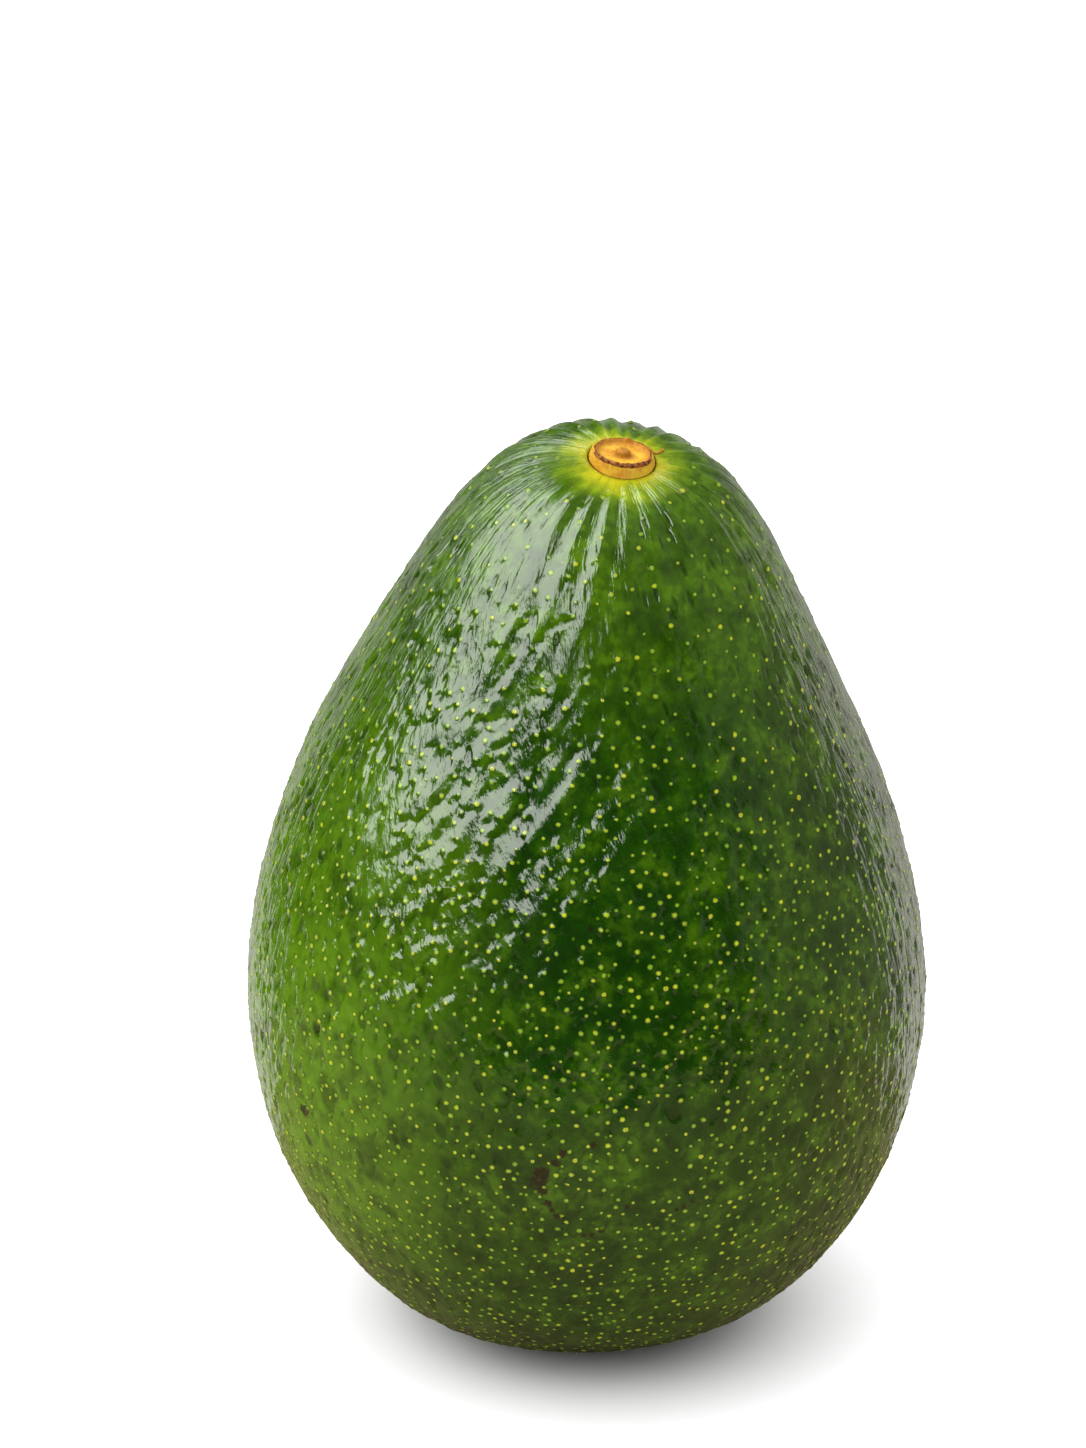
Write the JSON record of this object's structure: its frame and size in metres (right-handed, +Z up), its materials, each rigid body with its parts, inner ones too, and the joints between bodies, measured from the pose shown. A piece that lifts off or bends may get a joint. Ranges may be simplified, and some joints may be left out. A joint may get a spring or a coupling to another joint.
{
  "type": "avocado",
  "caption": "Whole green avocado, egg-shaped with a narrow leaning neck and a pimpled skin, standing on its blunt end, with the broken stub of its stalk in the top.",
  "frame": {"origin": "under the middle of the bounding box, on the surface that the fruit rests on", "axes": "+Z up, from the blunt end to the stalk; the neck leans mostly to -Y, which is the front, and a little to +X"},
  "size_m": [0.0756, 0.0736, 0.1061],
  "materials": {
    "skin": "waxy green skin, softly glossy, with paler pimples",
    "stalk": "dry, orange tan, rough"
  },
  "bodies": {
    "root": {"fruit": "skin", "stem_button": "stalk"}
  },
  "joints": []
}
